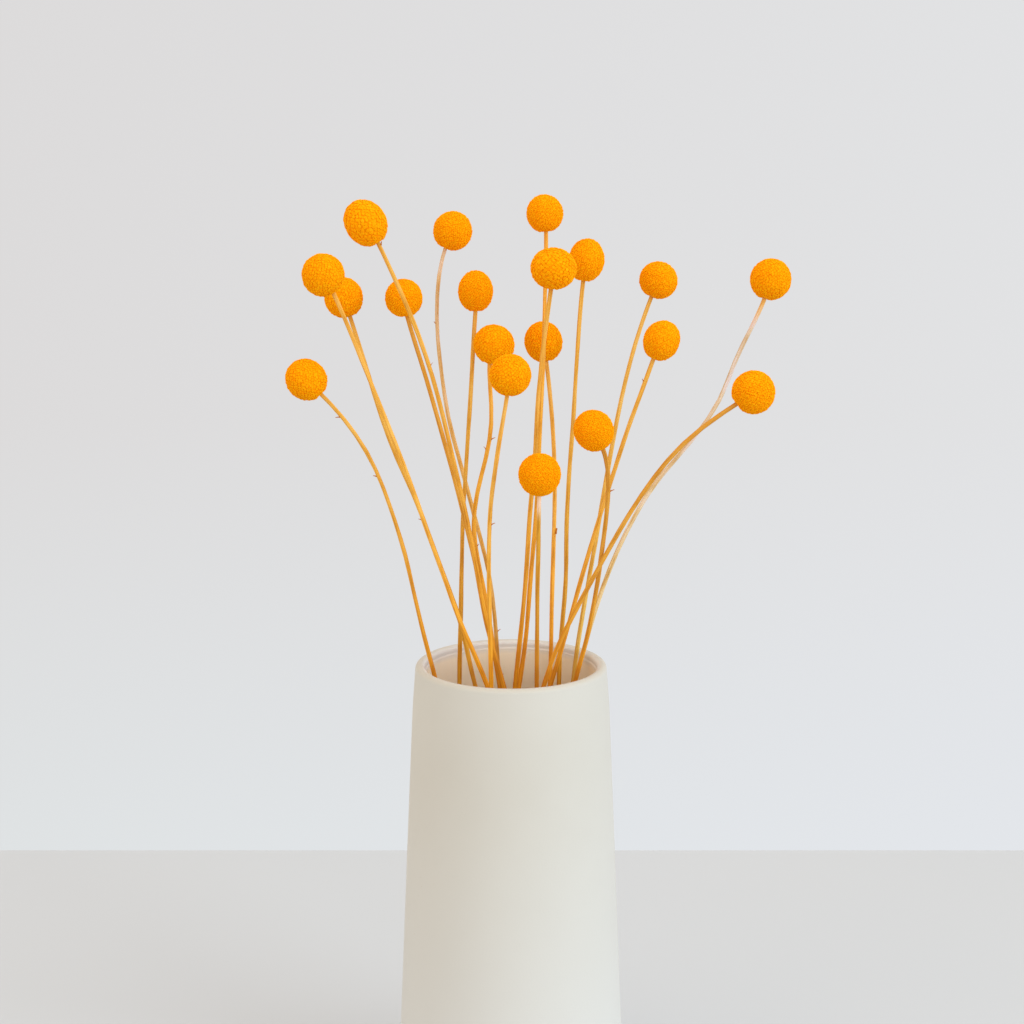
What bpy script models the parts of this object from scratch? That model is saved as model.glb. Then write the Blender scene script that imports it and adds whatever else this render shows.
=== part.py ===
"""A tall tapered stoneware vase filled with nineteen dried billy buttons.

Run it in Blender 4.5. Each flower is a bare wiry stem with one round head of packed florets.
Metres, +Z up: the vase stands on the plane z = 0 with its axis on the Z axis, and the front of
the bunch faces -Y. The flowers are entered in millimetres.
"""

import itertools
import math
from dataclasses import dataclass

import bmesh
import bpy
import numpy as np
from mathutils import Matrix, Vector

MM = 0.001

# Vase
VASE_HEIGHT = 250.0
VASE_LIP_RADIUS = 49.2
VASE_SHOULDER_RADIUS = 50.9
VASE_SHOULDER_DROP = 22.0
VASE_MIDDLE_RADIUS = 54.7
VASE_MIDDLE_HEIGHT = 146.0
VASE_FOOT_RADIUS = 61.2
VASE_FOOT_CURVE = 3.0
VASE_WALL = 5.0
VASE_LIP_CURVE = 2.4
VASE_LIP_BAND = 4.0
VASE_LIP_STEP = 0.8
VASE_FLOOR = 6.0
VASE_FLOOR_CURVE = 7.0
VASE_SEGMENTS = 48

# Stems
STEM_RADIUS_FOOT = 1.35
STEM_RADIUS_NECK = 1.05
STEM_SIDES_SETTING = 1
STEM_RING_SPACING_INSIDE = 48.0
STEM_RING_SPACING_ABOVE = 28.0
STEM_RING_TURN_DEG = 13.0
STEM_SAMPLES_PER_SPAN = 24
STEM_FOOT_HEIGHT = VASE_FLOOR + 1.2

# Flower heads
FLORETS_PER_HEAD = 92
FLORET_RELIEF = 0.09
HEAD_FLAT_SHARE = 0.93
HEAD_SPIRAL_TURN = 0.7

# Room kept between neighbours, and how fast a stem that is too near gives way
GAP = 0.5
CLEARING_ROUNDS = 400
CLEARING_STEP = 0.6
CLEARING_EXTRA = 0.05
CLEARING_SOFTENING = (0.3, 0.4, 0.3)

# Finishes
VASE_COLOUR = (0.74, 0.71, 0.64, 1.0)
VASE_ROUGHNESS = 0.62
STEM_COLOUR = (0.76, 0.36, 0.06, 1.0)
STEM_ROUGHNESS = 0.8
HEAD_COLOUR = (0.95, 0.38, 0.01, 1.0)
HEAD_ROUGHNESS = 0.85


@dataclass
class Flower:
    """One billy button: the head's centre and size, and the way its stem takes.

    The path runs from the foot, given by x and y on the vase's floor, through points read off
    the real bunch, to the neck. All in millimetres.
    """

    head: tuple
    width: float
    height: float
    foot: tuple
    path: list
    thickness: float = 1.0


FLOWERS = [
    # The left side of the bunch, from the tallest down
    Flower((-70.4, -20, 476.3), 20.8, 24.4, (44, -9),
           [(-4, -5.5, 239), (-13, -7.5, 274.5), (-18, -9.5, 306), (-24, -11.5, 338),
            (-30, -13, 363), (-32.5, -13.5, 376), (-49, -17, 432), (-60.5, -19, 457.5),
            (-63.5, -19.5, 465.5)]),
    Flower((-90.8, -26, 451.7), 21.3, 21.8, (34, -30),
           [(-12, -16.5, 243), (-19.5, -17.5, 262.5), (-27.5, -18.5, 280), (-32, -19, 296),
            (-41, -20, 321), (-47, -21, 340.5), (-65, -23, 389.5), (-81, -25, 431),
            (-85, -25.5, 441.5)]),
    Flower((-85.7, 28, 435.8), 20.3, 22, (41, -18),
           [(-18.5, -10.5, 241.5), (-23, -7, 259.5), (-26.5, -3.5, 277.5), (-33, -1, 292),
            (-48.5, 7.5, 334.5), (-60, 12, 358), (-73.5, 20.5, 399), (-82, 26, 425)]),
    Flower((-54.1, 14, 436.8), 19.5, 20, (45, 6),
           [(-3.5, 3.5, 236), (-13.5, 5, 271), (-18.5, 7, 303), (-22.5, 7.5, 318),
            (-26, 8.5, 334.5), (-36.5, 10.5, 372.5), (-45, 12.5, 403.5),
            (-49.5, 13, 417.5), (-52.5, 13.5, 426)]),
    Flower((-29.8, 34, 469.2), 20.5, 20.8, (20, 38),
           [(-6, 17, 231.5), (-8, 19, 262), (-10, 20.5, 286), (-21.5, 24, 331.5),
            (-25, 25, 346.5), (-32, 27, 370), (-35.5, 28.5, 393), (-37.5, 29.5, 409.5),
            (-38.5, 31.5, 434), (-34.5, 33.5, 459)], 0.93),
    Flower((-18, 22, 439.5), 18.3, 21.9, (-26, 14),
           [(-27, 8, 236.5), (-25.5, 12, 296.5), (-25, 14, 324), (-23.5, 15.5, 345),
            (-19.5, 20, 407.5), (-19, 21, 420), (-18, 21.5, 428)]),
    Flower((-8.6, 8, 413.9), 21.4, 21.2, (38, 22),
           [(-6, 9.5, 234), (-13.5, 11.5, 283), (-17, 11.5, 301), (-20, 12, 317),
            (-15.5, 11, 346), (-11.5, 10.5, 359), (-9.5, 9.5, 372.5), (-10.5, 8.5, 393),
            (-11.5, 8, 403)]),
    Flower((-0.3, -42, 405.1), 20.7, 21.2, (-5, -40),
           [(-10, -22.5, 244), (-11, -30, 306.5), (-11, -32.5, 326.5), (-2, -40.5, 394)]),
    Flower((-100.6, -20, 400), 20.4, 22.2, (16, -14),
           [(-40, -8, 247), (-45.5, -9.5, 271), (-55.5, -13.5, 319.5),
            (-62.5, -15.5, 341.5), (-69, -17, 359.5), (-79, -18, 376), (-84, -19, 383.5),
            (-92.5, -19.5, 391.5)], 0.93),
    # The right side, from the tallest down
    Flower((17.1, 25, 478.5), 19.1, 19.8, (-21, 17),
           [(4, 8, 234.5), (9, 10, 270), (10, 12, 296), (13, 14, 320), (13.5, 15, 334.5),
            (15.5, 18.5, 384.5), (17, 20.5, 414), (17, 22.5, 440.5), (18, 24.5, 468)]),
    Flower((20.8, -15, 453.9), 23.2, 21.3, (-14, 2),
           [(2, 1, 236.5), (8, -3.5, 300), (9.5, -6, 331), (12.5, -8, 364),
            (13, -10, 388.5), (15, -11.5, 406.5), (18.5, -13.5, 436.5), (19.5, -14, 442.5)]),
    Flower((38.4, 27, 454.8), 18.9, 22.9, (8, 10),
           [(25, 6, 237), (25, 7.5, 255), (27.5, 9, 275.5), (28.5, 10, 289),
            (28.5, 13, 317.5), (29.5, 16, 343), (31, 17.5, 359.5), (34.5, 23.5, 418),
            (36.5, 26, 443)]),
    Flower((16.8, 38, 412), 20.2, 22.3, (14, 28),
           [(20.5, 13, 235), (22, 22.5, 304), (23, 27, 334), (20.5, 34, 384),
            (18.5, 36, 400.5)]),
    Flower((13.8, -50, 357.9), 21.1, 21.6, (11, -44),
           [(13, -28, 245.5), (13, -38.5, 297.5), (13.5, -44.5, 329.5), (13.5, -48, 346.5)]),
    Flower((40.5, -30, 376.2), 20.1, 21.6, (-20, -22),
           [(33, -10.5, 244.5), (38.5, -13.5, 265.5), (44, -18.5, 300), (47, -22.5, 327),
            (48.5, -26, 349), (48.5, -27.5, 358.5), (46, -29, 366)]),
    Flower((76.3, 42, 443.4), 20.5, 20, (-4, 26),
           [(32.5, 9, 238), (35, 12, 260), (39, 16, 281.5), (49, 26.5, 338),
            (56.5, 33, 380), (72, 40.5, 433.5)]),
    Flower((75.7, 6, 416.2), 18.8, 21.7, (-42, -3),
           [(20.5, -1.5, 239), (26.5, -0.5, 258.5), (32.5, 0, 282), (52.5, 3.5, 350.5),
            (61, 4.5, 377.5), (68, 5, 396), (71, 5.5, 405.5)]),
    Flower((135.5, 50, 443.2), 21.9, 22.8, (-28, 36),
           [(34, 15.5, 236), (45, 22, 276.5), (62.5, 30.5, 317.5), (78, 35.5, 342),
            (89, 37, 353), (110.5, 41, 382), (118, 44.5, 405), (129, 47, 424),
            (132, 48.5, 432)]),
    Flower((119.1, -22, 394), 22.1, 22, (-36, -28),
           [(16.5, -20, 243.5), (21.5, -20, 260.5), (35.5, -20.5, 289), (50.5, -21, 318.5),
            (75.5, -21.5, 358), (92.5, -22, 376.5), (102.5, -22, 382.5),
            (109.5, -22, 387)]),
]


def clear_scene():
    """Removes every object, so that only the modelled parts are left."""
    for obj in list(bpy.data.objects):
        bpy.data.objects.remove(obj, do_unlink=True)


def make_material(name, colour, roughness):
    """A plain non-metallic finish of one colour."""
    material = bpy.data.materials.new(name)
    material.use_nodes = True
    shader = material.node_tree.nodes["Principled BSDF"]
    shader.inputs["Base Color"].default_value = colour
    shader.inputs["Roughness"].default_value = roughness
    shader.inputs["Metallic"].default_value = 0.0
    material.diffuse_color = colour
    return material


def quarter_turn(centre_x, centre_z, radius, start_deg, end_deg, steps):
    """Points on an arc in the profile's plane, first and last included."""
    points = []
    for step in range(steps + 1):
        angle = math.radians(start_deg + (end_deg - start_deg) * step / steps)
        points.append((centre_x + radius * math.cos(angle), centre_z + radius * math.sin(angle)))
    return points


def outer_radius(z):
    """The vase's outside radius at a height."""
    heights = [0.0, VASE_MIDDLE_HEIGHT, VASE_HEIGHT - VASE_SHOULDER_DROP, VASE_HEIGHT]
    radii = [VASE_FOOT_RADIUS, VASE_MIDDLE_RADIUS, VASE_SHOULDER_RADIUS, VASE_LIP_RADIUS]
    return float(np.interp(z, heights, radii))


def inner_radius(z):
    """The vase's inside radius at a height below the lip's band."""
    return outer_radius(z) - VASE_WALL - VASE_LIP_STEP


def vase_profile():
    """Half of the vase's section, from the middle of the inside floor round to the underside."""
    floor_corner_z = VASE_FLOOR + VASE_FLOOR_CURVE
    floor_corner_x = inner_radius(floor_corner_z) - VASE_FLOOR_CURVE
    lip_z = VASE_HEIGHT - VASE_LIP_CURVE
    band_z = VASE_HEIGHT - VASE_LIP_BAND
    lip_inner = outer_radius(lip_z) - VASE_WALL
    foot_x = outer_radius(0.0) - VASE_FOOT_CURVE
    profile = [(0.0, VASE_FLOOR)]
    profile += quarter_turn(floor_corner_x, floor_corner_z, VASE_FLOOR_CURVE, -90, 0, 3)
    profile.append((inner_radius(VASE_MIDDLE_HEIGHT), VASE_MIDDLE_HEIGHT))
    profile.append((inner_radius(band_z - VASE_LIP_STEP), band_z - VASE_LIP_STEP))
    profile.append((lip_inner, band_z))
    profile += quarter_turn(lip_inner + VASE_LIP_CURVE, lip_z, VASE_LIP_CURVE, 180, 90, 3)
    profile += quarter_turn(outer_radius(lip_z) - VASE_LIP_CURVE, lip_z, VASE_LIP_CURVE, 90, 0, 3)
    shoulder_z = VASE_HEIGHT - VASE_SHOULDER_DROP
    profile.append((outer_radius(shoulder_z), shoulder_z))
    profile.append((outer_radius(VASE_MIDDLE_HEIGHT), VASE_MIDDLE_HEIGHT))
    profile += quarter_turn(foot_x, VASE_FOOT_CURVE, VASE_FOOT_CURVE, 0, -90, 3)
    profile.append((0.0, 0.0))
    return profile


def build_vase(collection, material):
    """The vase, turned about the Z axis in one piece with an open mouth."""
    mesh = bpy.data.meshes.new("vase")
    profile = vase_profile()
    points = [(x * MM, 0.0, z * MM) for x, z in profile]
    edges = [(index, index + 1) for index in range(len(points) - 1)]
    mesh.from_pydata(points, edges, [])
    vase = bpy.data.objects.new("vase", mesh)
    collection.objects.link(vase)
    screw = vase.modifiers.new("Turn", "SCREW")
    screw.steps = VASE_SEGMENTS
    screw.render_steps = VASE_SEGMENTS
    screw.use_merge_vertices = True
    screw.merge_threshold = 0.00001
    mesh.materials.append(material)
    return vase


def smooth_way(points):
    """A finely sampled smooth curve through the points, with end tangents along the end chords."""
    points = np.array(points, float)
    chords = np.linalg.norm(np.diff(points, axis=0), axis=1)
    slopes = np.diff(points, axis=0) / chords[:, None]
    tangents = np.empty_like(points)
    tangents[0] = slopes[0]
    tangents[-1] = slopes[-1]
    before = chords[:-1, None]
    after = chords[1:, None]
    tangents[1:-1] = (slopes[:-1] * after + slopes[1:] * before) / (before + after)
    samples = []
    steps = np.linspace(0.0, 1.0, STEM_SAMPLES_PER_SPAN, endpoint=False)[:, None]
    for index, chord in enumerate(chords):
        start, end = points[index], points[index + 1]
        leave, arrive = tangents[index] * chord, tangents[index + 1] * chord
        samples.append(
            start * (2 * steps**3 - 3 * steps**2 + 1)
            + leave * (steps**3 - 2 * steps**2 + steps)
            + end * (3 * steps**2 - 2 * steps**3)
            + arrive * (steps**3 - steps**2)
        )
    samples.append(points[-1:])
    return np.concatenate(samples)


def head_axis(flower):
    """The direction in which the stem runs into the head."""
    axis = np.array(flower.head, float) - np.array(flower.path[-1], float)
    return axis / np.linalg.norm(axis)


def rings_passed(way):
    """How many rings lie below each sample of the way: more above the vase and where it turns."""
    steps = np.diff(way, axis=0)
    lengths = np.linalg.norm(steps, axis=1)
    courses = steps / lengths[:, None]
    bends = np.clip((courses[:-1] * courses[1:]).sum(1), -1.0, 1.0)
    turns = np.degrees(np.arccos(bends))
    inside = way[:-1, 2] < VASE_HEIGHT - STEM_RING_SPACING_ABOVE
    spacing = np.where(inside, STEM_RING_SPACING_INSIDE, STEM_RING_SPACING_ABOVE)
    rings = lengths / spacing
    rings[1:] += turns / STEM_RING_TURN_DEG
    return np.concatenate([[0.0], np.cumsum(rings)])


def stem_rings(flower):
    """Centres of the stem's rings, from its foot on the vase's floor to just under its head."""
    reach = HEAD_FLAT_SHARE * flower.height / 2 + GAP
    tip = np.array(flower.head, float) - head_axis(flower) * reach
    foot = (flower.foot[0], flower.foot[1], STEM_FOOT_HEIGHT)
    way = smooth_way([foot, *flower.path, tip])
    passed = rings_passed(way)
    wanted = np.linspace(0.0, passed[-1], int(round(passed[-1])) + 1)
    return np.column_stack([np.interp(wanted, passed, coordinate) for coordinate in way.T])


def stem_radii(flower, rings):
    """The stem tapers evenly from foot to neck."""
    share = np.linspace(0.0, 1.0, len(rings))
    radii = STEM_RADIUS_FOOT + (STEM_RADIUS_NECK - STEM_RADIUS_FOOT) * share
    return radii * flower.thickness


def nearest_on_segments(p, u, q, v):
    """Parameters of the nearest points of the segments p + s u and q + t v, row by row."""
    uu = (u * u).sum(1)
    vv = (v * v).sum(1)
    uv = (u * v).sum(1)
    between = p - q
    up = (u * between).sum(1)
    vp = (v * between).sum(1)
    spread = np.maximum(uu * vv - uv * uv, 1e-9)
    s = np.clip((uv * vp - vv * up) / spread, 0.0, 1.0)
    t = np.clip((uv * s + vp) / vv, 0.0, 1.0)
    s = np.clip((uv * t - up) / uu, 0.0, 1.0)
    return s, t


def soften(push):
    """Spreads a sideways push over the neighbouring rings, so that the stem bends gently."""
    below, own, above = CLEARING_SOFTENING
    padded = np.pad(push, 1, mode="edge")
    return below * padded[:-2] + own * padded[1:-1] + above * padded[2:]


def part_stems(first, second, need, first_push, second_push):
    """Adds the push that parts two stems, and says how many of their segments are too near."""
    rows = np.repeat(np.arange(len(first) - 1), len(second) - 1)
    columns = np.tile(np.arange(len(second) - 1), len(first) - 1)
    u = (first[1:] - first[:-1])[rows]
    v = (second[1:] - second[:-1])[columns]
    s, t = nearest_on_segments(first[rows], u, second[columns], v)
    apart = (second[columns] + v * t[:, None]) - (first[rows] + u * s[:, None])
    near = np.flatnonzero((apart * apart).sum(1) < need * need)
    for k in near:
        across = apart[k, 0] ** 2 + apart[k, 2] ** 2
        wanted = math.sqrt(max(need * need - across, 0.0))
        behind = 1.0 if apart[k, 1] >= 0.0 else -1.0
        step = CLEARING_STEP * (wanted - abs(apart[k, 1]) + CLEARING_EXTRA) * behind
        first_push[rows[k]] -= step * (1.0 - s[k]) / 2
        first_push[rows[k] + 1] -= step * s[k] / 2
        second_push[columns[k]] += step * (1.0 - t[k]) / 2
        second_push[columns[k] + 1] += step * t[k] / 2
    return len(near)


def part_from_head(rings, radius, flower, push):
    """Adds the push that parts a stem from another flower's head, and counts what is too near."""
    u = rings[1:] - rings[:-1]
    to_head = np.array(flower.head, float) - rings[:-1]
    share = np.clip((to_head * u).sum(1) / (u * u).sum(1), 0.0, 1.0)
    apart = to_head - u * share[:, None]
    need = max(flower.width, flower.height) / 2 + radius + GAP
    near = np.flatnonzero((apart * apart).sum(1) < need * need)
    for k in near:
        behind = 1.0 if apart[k, 1] >= 0.0 else -1.0
        step = CLEARING_STEP * (need - np.linalg.norm(apart[k]) + CLEARING_EXTRA) * behind
        push[k] -= step * (1.0 - share[k])
        push[k + 1] -= step * share[k]
    return len(near)


def clear_stems(stems, radii):
    """Bends stems front to back until none touches another stem, a head or the vase's wall.

    Only the depth of a ring changes, so the bunch keeps its outline from the front.
    """
    for _ in range(CLEARING_ROUNDS):
        pushes = [np.zeros(len(rings)) for rings in stems]
        near = 0
        for i, j in itertools.combinations(range(len(stems)), 2):
            need = radii[i][0] + radii[j][0] + GAP
            near += part_stems(stems[i], stems[j], need, pushes[i], pushes[j])
        for i, j in itertools.permutations(range(len(stems)), 2):
            near += part_from_head(stems[i], radii[i][0], FLOWERS[j], pushes[i])
        if not near:
            return
        for rings, push in zip(stems, pushes):
            push = soften(soften(push))
            push[-2:] = 0.0
            rings[:, 1] += push
            hold_inside(rings)


def hold_inside(rings):
    """Draws rings back from the vase's wall."""
    for ring in rings:
        if ring[2] >= VASE_HEIGHT:
            continue
        room = inner_radius(max(ring[2], VASE_FLOOR)) - STEM_RADIUS_FOOT - 2 * GAP
        if ring[2] < VASE_FLOOR + VASE_FLOOR_CURVE:
            room -= VASE_FLOOR_CURVE
        if ring[2] > VASE_HEIGHT - 2 * VASE_LIP_BAND:
            room -= VASE_LIP_STEP
        reach = math.hypot(ring[0], ring[1])
        if reach > room:
            ring[:2] *= room / reach


def build_stem(name, collection, material, rings, radii):
    """A round wire-like stem with closed ends."""
    curve = bpy.data.curves.new(name, "CURVE")
    curve.dimensions = "3D"
    curve.bevel_depth = MM
    curve.bevel_resolution = STEM_SIDES_SETTING
    curve.use_fill_caps = True
    spline = curve.splines.new("POLY")
    spline.points.add(len(rings) - 1)
    for point, ring, radius in zip(spline.points, rings, radii):
        point.co = (ring[0] * MM, ring[1] * MM, ring[2] * MM, 1.0)
        point.radius = radius
    curve.materials.append(material)
    stem = bpy.data.objects.new(name, curve)
    collection.objects.link(stem)
    return stem


def floret_directions(count, turn):
    """Evenly spread directions on a sphere, on a spiral such as the florets grow in."""
    golden = math.pi * (3.0 - math.sqrt(5.0))
    directions = []
    for index in range(count):
        z = 1.0 - 2.0 * (index + 0.5) / count
        ring = math.sqrt(1.0 - z * z)
        angle = golden * index + turn
        directions.append(Vector((ring * math.cos(angle), ring * math.sin(angle), z)))
    return directions


def build_head(name, collection, material, flower, turn):
    """A round head: one six-sided point for each floret, and a flat spot where the stem meets it."""
    bm = bmesh.new()
    for direction in floret_directions(FLORETS_PER_HEAD, turn):
        bm.verts.new(direction)
    bmesh.ops.convex_hull(bm, input=bm.verts)
    tips = set(bm.verts)
    valleys = list(bm.edges)
    poked = bmesh.ops.poke(bm, faces=bm.faces)
    for vert in poked["verts"]:
        vert.co = vert.co.normalized() * (1.0 - FLORET_RELIEF)
    bmesh.ops.rotate_edges(bm, edges=valleys, use_ccw=False)
    across = flower.width / 2
    along = flower.height / 2
    for vert in bm.verts:
        if vert in tips:
            vert.co = vert.co.normalized()
        vert.co.z = max(vert.co.z, -HEAD_FLAT_SHARE)
        vert.co = Vector((vert.co.x * across, vert.co.y * across, vert.co.z * along)) * MM
    bmesh.ops.recalc_face_normals(bm, faces=bm.faces)
    axis = Vector(head_axis(flower))
    turn_to_axis = axis.to_track_quat("Z", "Y").to_matrix().to_4x4()
    place = Matrix.Translation(Vector(flower.head) * MM) @ turn_to_axis
    bmesh.ops.transform(bm, matrix=place, verts=bm.verts)
    mesh = bpy.data.meshes.new(name)
    bm.to_mesh(mesh)
    bm.free()
    mesh.materials.append(material)
    head = bpy.data.objects.new(name, mesh)
    collection.objects.link(head)
    return head


def main():
    """Builds the vase, then each flower's stem and head."""
    clear_scene()
    collection = bpy.data.collections.new("billy_buttons_vase")
    bpy.context.scene.collection.children.link(collection)
    ceramic = make_material("matte_cream_stoneware", VASE_COLOUR, VASE_ROUGHNESS)
    stalk = make_material("dry_orange_tan_stalk", STEM_COLOUR, STEM_ROUGHNESS)
    floret = make_material("packed_orange_florets", HEAD_COLOUR, HEAD_ROUGHNESS)
    build_vase(collection, ceramic)
    stems = [stem_rings(flower) for flower in FLOWERS]
    radii = [stem_radii(flower, rings) for flower, rings in zip(FLOWERS, stems)]
    for rings in stems:
        hold_inside(rings)
    clear_stems(stems, radii)
    for number, flower in enumerate(FLOWERS, start=1):
        index = number - 1
        turn = HEAD_SPIRAL_TURN * number
        build_stem(f"stem_{number:02d}", collection, stalk, stems[index], radii[index])
        build_head(f"flower_head_{number:02d}", collection, floret, flower, turn)


main()
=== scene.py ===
"""Dresses a vase of dried billy buttons for its portrait.

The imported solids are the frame: each stalk, flower head and the vase is modelled again here
in fine detail, in the place that its solid holds, and given a finish made of shader nodes.
Lengths are metres, with +Z up and the front of the bunch towards -Y.
"""

import logging
import math
from dataclasses import dataclass, field
from enum import Enum

import bpy
import numpy as np
from mathutils import Matrix, Vector


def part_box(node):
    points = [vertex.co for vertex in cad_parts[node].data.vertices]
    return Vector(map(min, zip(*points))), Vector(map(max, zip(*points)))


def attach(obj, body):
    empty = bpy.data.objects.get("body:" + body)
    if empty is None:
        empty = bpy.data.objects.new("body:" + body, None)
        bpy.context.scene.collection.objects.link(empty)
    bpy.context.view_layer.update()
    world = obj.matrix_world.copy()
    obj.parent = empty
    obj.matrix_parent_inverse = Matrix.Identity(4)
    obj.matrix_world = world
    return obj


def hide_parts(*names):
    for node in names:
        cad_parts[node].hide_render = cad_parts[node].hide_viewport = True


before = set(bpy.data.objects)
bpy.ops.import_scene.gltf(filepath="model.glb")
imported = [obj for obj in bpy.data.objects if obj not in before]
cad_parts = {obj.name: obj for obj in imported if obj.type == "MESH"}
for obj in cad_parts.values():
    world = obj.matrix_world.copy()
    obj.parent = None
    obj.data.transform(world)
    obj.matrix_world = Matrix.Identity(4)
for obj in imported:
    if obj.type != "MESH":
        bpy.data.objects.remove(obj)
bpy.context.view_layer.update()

SEED = 19
MM = 0.001
BLACK = (0.0, 0.0, 0.0)
WHITE = (1.0, 1.0, 1.0)
MIX_SHARE, MIX_FIRST, MIX_SECOND, MIX_RESULT = 0, 6, 7, 2
TIP_REACH = 0.3 * MM
log = logging.getLogger("billy_buttons")


class StalkTone(Enum):
    """How a stalk has dried: its colours at the foot, at the rim, halfway up and at the neck; the
    darker foot and rim colours are painted shade down in the vase's mouth.
    """

    AMBER = ((0.51, 0.16, 0.003), (0.76, 0.30, 0.006), (0.85, 0.42, 0.045), (0.82, 0.45, 0.067))
    RUSSET = ((0.51, 0.16, 0.003), (0.81, 0.32, 0.009), (0.87, 0.43, 0.036), (0.91, 0.42, 0.043))
    TAN = ((0.49, 0.16, 0.003), (0.76, 0.29, 0.005), (0.72, 0.35, 0.038), (0.64, 0.29, 0.029))
    HONEY = ((0.55, 0.19, 0.004), (0.95, 0.40, 0.009), (0.97, 0.52, 0.073), (0.87, 0.47, 0.077))
    OLIVE = ((0.49, 0.18, 0.005), (0.59, 0.28, 0.014), (0.75, 0.41, 0.049), (0.80, 0.45, 0.067))
    STRAW = ((0.53, 0.24, 0.010), (0.71, 0.49, 0.103), (0.78, 0.45, 0.069), (0.82, 0.50, 0.099))
    GREYED = ((0.59, 0.25, 0.017), (0.78, 0.58, 0.224), (0.68, 0.64, 0.533), (0.85, 0.50, 0.138))
    ROSY = ((0.55, 0.22, 0.009), (0.70, 0.42, 0.095), (0.81, 0.49, 0.129), (0.74, 0.62, 0.370))
    PEACH = ((0.45, 0.14, 0.003), (0.53, 0.18, 0.004), (0.71, 0.37, 0.031), (0.97, 0.70, 0.404))

    @property
    def stops(self) -> tuple:
        """Where along the stalk each colour sits, from 0 at the foot to 1 at the neck."""
        late = {"GREYED": (0.05, 0.34, 0.93, 0.985), "PEACH": (0.05, 0.30, 0.89, 0.93)}
        return late.get(self.name, (0.05, 0.30, 0.62, 0.97))


class LampRole(Enum):
    """What a lamp does for the light on the bunch."""

    KEY = "key"
    FILL = "fill"
    TOP = "top"


@dataclass(frozen=True)
class NodeBench:
    """Adds and wires shader nodes on one material or on the world."""

    owner: bpy.types.ID

    @property
    def shader(self) -> bpy.types.Node:
        """The material's surface shader."""
        return self.owner.node_tree.nodes["Principled BSDF"]

    def own_place(self) -> bpy.types.NodeSocket:
        """Adds the place on an object, in the object's own coordinates."""
        return self.add("ShaderNodeTexCoord").outputs["Object"]

    def add(self, kind: str, **values: object) -> bpy.types.Node:
        """Adds a node.

        Args:
            kind: the node's type name.
            values: socket values, by socket name with underscores for spaces.

        Returns:
            The new node.
        """
        node = self.owner.node_tree.nodes.new(kind)
        for name, value in values.items():
            node.inputs[name.replace("_", " ")].default_value = value
        return node

    def add_at(self, place: bpy.types.NodeSocket, kind: str, **values: object) -> bpy.types.Node:
        """Adds a node that works on a place.

        Args:
            place: the place's socket.
            kind: the node's type name.
            values: socket values, as for any other node.

        Returns:
            The new node.
        """
        node = self.add(kind, **values)
        self.wire(place, node.inputs["Vector"])
        return node

    def wire(self, source: bpy.types.NodeSocket, target: bpy.types.NodeSocket) -> None:
        """Joins an output to an input.

        Args:
            source: the output socket.
            target: the input socket.
        """
        self.owner.node_tree.links.new(source, target)

    def attribute(self, name: str, output: str) -> bpy.types.NodeSocket:
        """Reads a value stored on the mesh.

        Args:
            name: the attribute's name.
            output: which of the node's outputs to take.

        Returns:
            The output's socket.
        """
        node = self.add("ShaderNodeAttribute")
        node.attribute_name = name
        return node.outputs[output]

    def ramp(self, factor: bpy.types.NodeSocket, stops: list) -> bpy.types.NodeSocket:
        """Turns a number into a colour.

        Args:
            factor: the number's socket, from 0 to 1.
            stops: (place, colour) pairs from low to high.

        Returns:
            The colour's socket.
        """
        node = self.add("ShaderNodeValToRGB")
        elements = node.color_ramp.elements
        while len(elements) < len(stops):
            elements.new(0.5)
        for element, (place, colour) in zip(elements, stops):
            element.position = place
            element.color = (*colour, 1.0)
        self.wire(factor, node.inputs["Fac"])
        return node.outputs["Color"]

    def mix(
        self, share: object, first: object, second: object, blend: str = "MIX"
    ) -> bpy.types.NodeSocket:
        """Mixes two colours.

        Args:
            share: a socket or a number, the second colour's share.
            first: a socket or a colour.
            second: a socket or a colour.
            blend: the way in which the two are mixed.

        Returns:
            The mixed colour's socket.
        """
        node = self.add("ShaderNodeMix")
        node.data_type = "RGBA"
        node.blend_type = blend
        for index, value in ((MIX_SHARE, share), (MIX_FIRST, first), (MIX_SECOND, second)):
            if isinstance(value, bpy.types.NodeSocket):
                self.wire(value, node.inputs[index])
            elif index == MIX_SHARE:
                node.inputs[index].default_value = value
            else:
                node.inputs[index].default_value = (*value, 1.0)
        return node.outputs[MIX_RESULT]

    def span(self, value: bpy.types.NodeSocket, low: float, high: float) -> bpy.types.NodeSocket:
        """Stretches a number to run from 0 to 1.

        Args:
            value: the number's socket.
            low: the number that becomes 0.
            high: the number that becomes 1.

        Returns:
            The stretched number's socket.
        """
        node = self.add("ShaderNodeMapRange", From_Min=low, From_Max=high)
        self.wire(value, node.inputs["Value"])
        return node.outputs["Result"]

    def bump(self, height: bpy.types.NodeSocket, distance: float, strength: float) -> None:
        """Raises the surface by a pattern.

        Args:
            height: the pattern's socket.
            distance: its full height in metres.
            strength: how much of it shows.
        """
        node = self.add("ShaderNodeBump", Distance=distance, Strength=strength)
        self.wire(height, node.inputs["Height"])
        self.wire(node.outputs["Normal"], self.shader.inputs["Normal"])


def new_material(name: str, roughness: float, gloss: float) -> NodeBench:
    """Starts a non-metallic material.

    Args:
        name: the material's name.
        roughness: the shader's roughness.
        gloss: the strength of its surface reflection, 0.5 for common glass or plastic.

    Returns:
        A bench to add its nodes with.
    """
    material = bpy.data.materials.new(name)
    material.use_nodes = True
    bench = NodeBench(material)
    bench.shader.inputs["Roughness"].default_value = roughness
    bench.shader.inputs["Specular IOR Level"].default_value = gloss
    bench.shader.inputs["Metallic"].default_value = 0.0
    return bench


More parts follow.
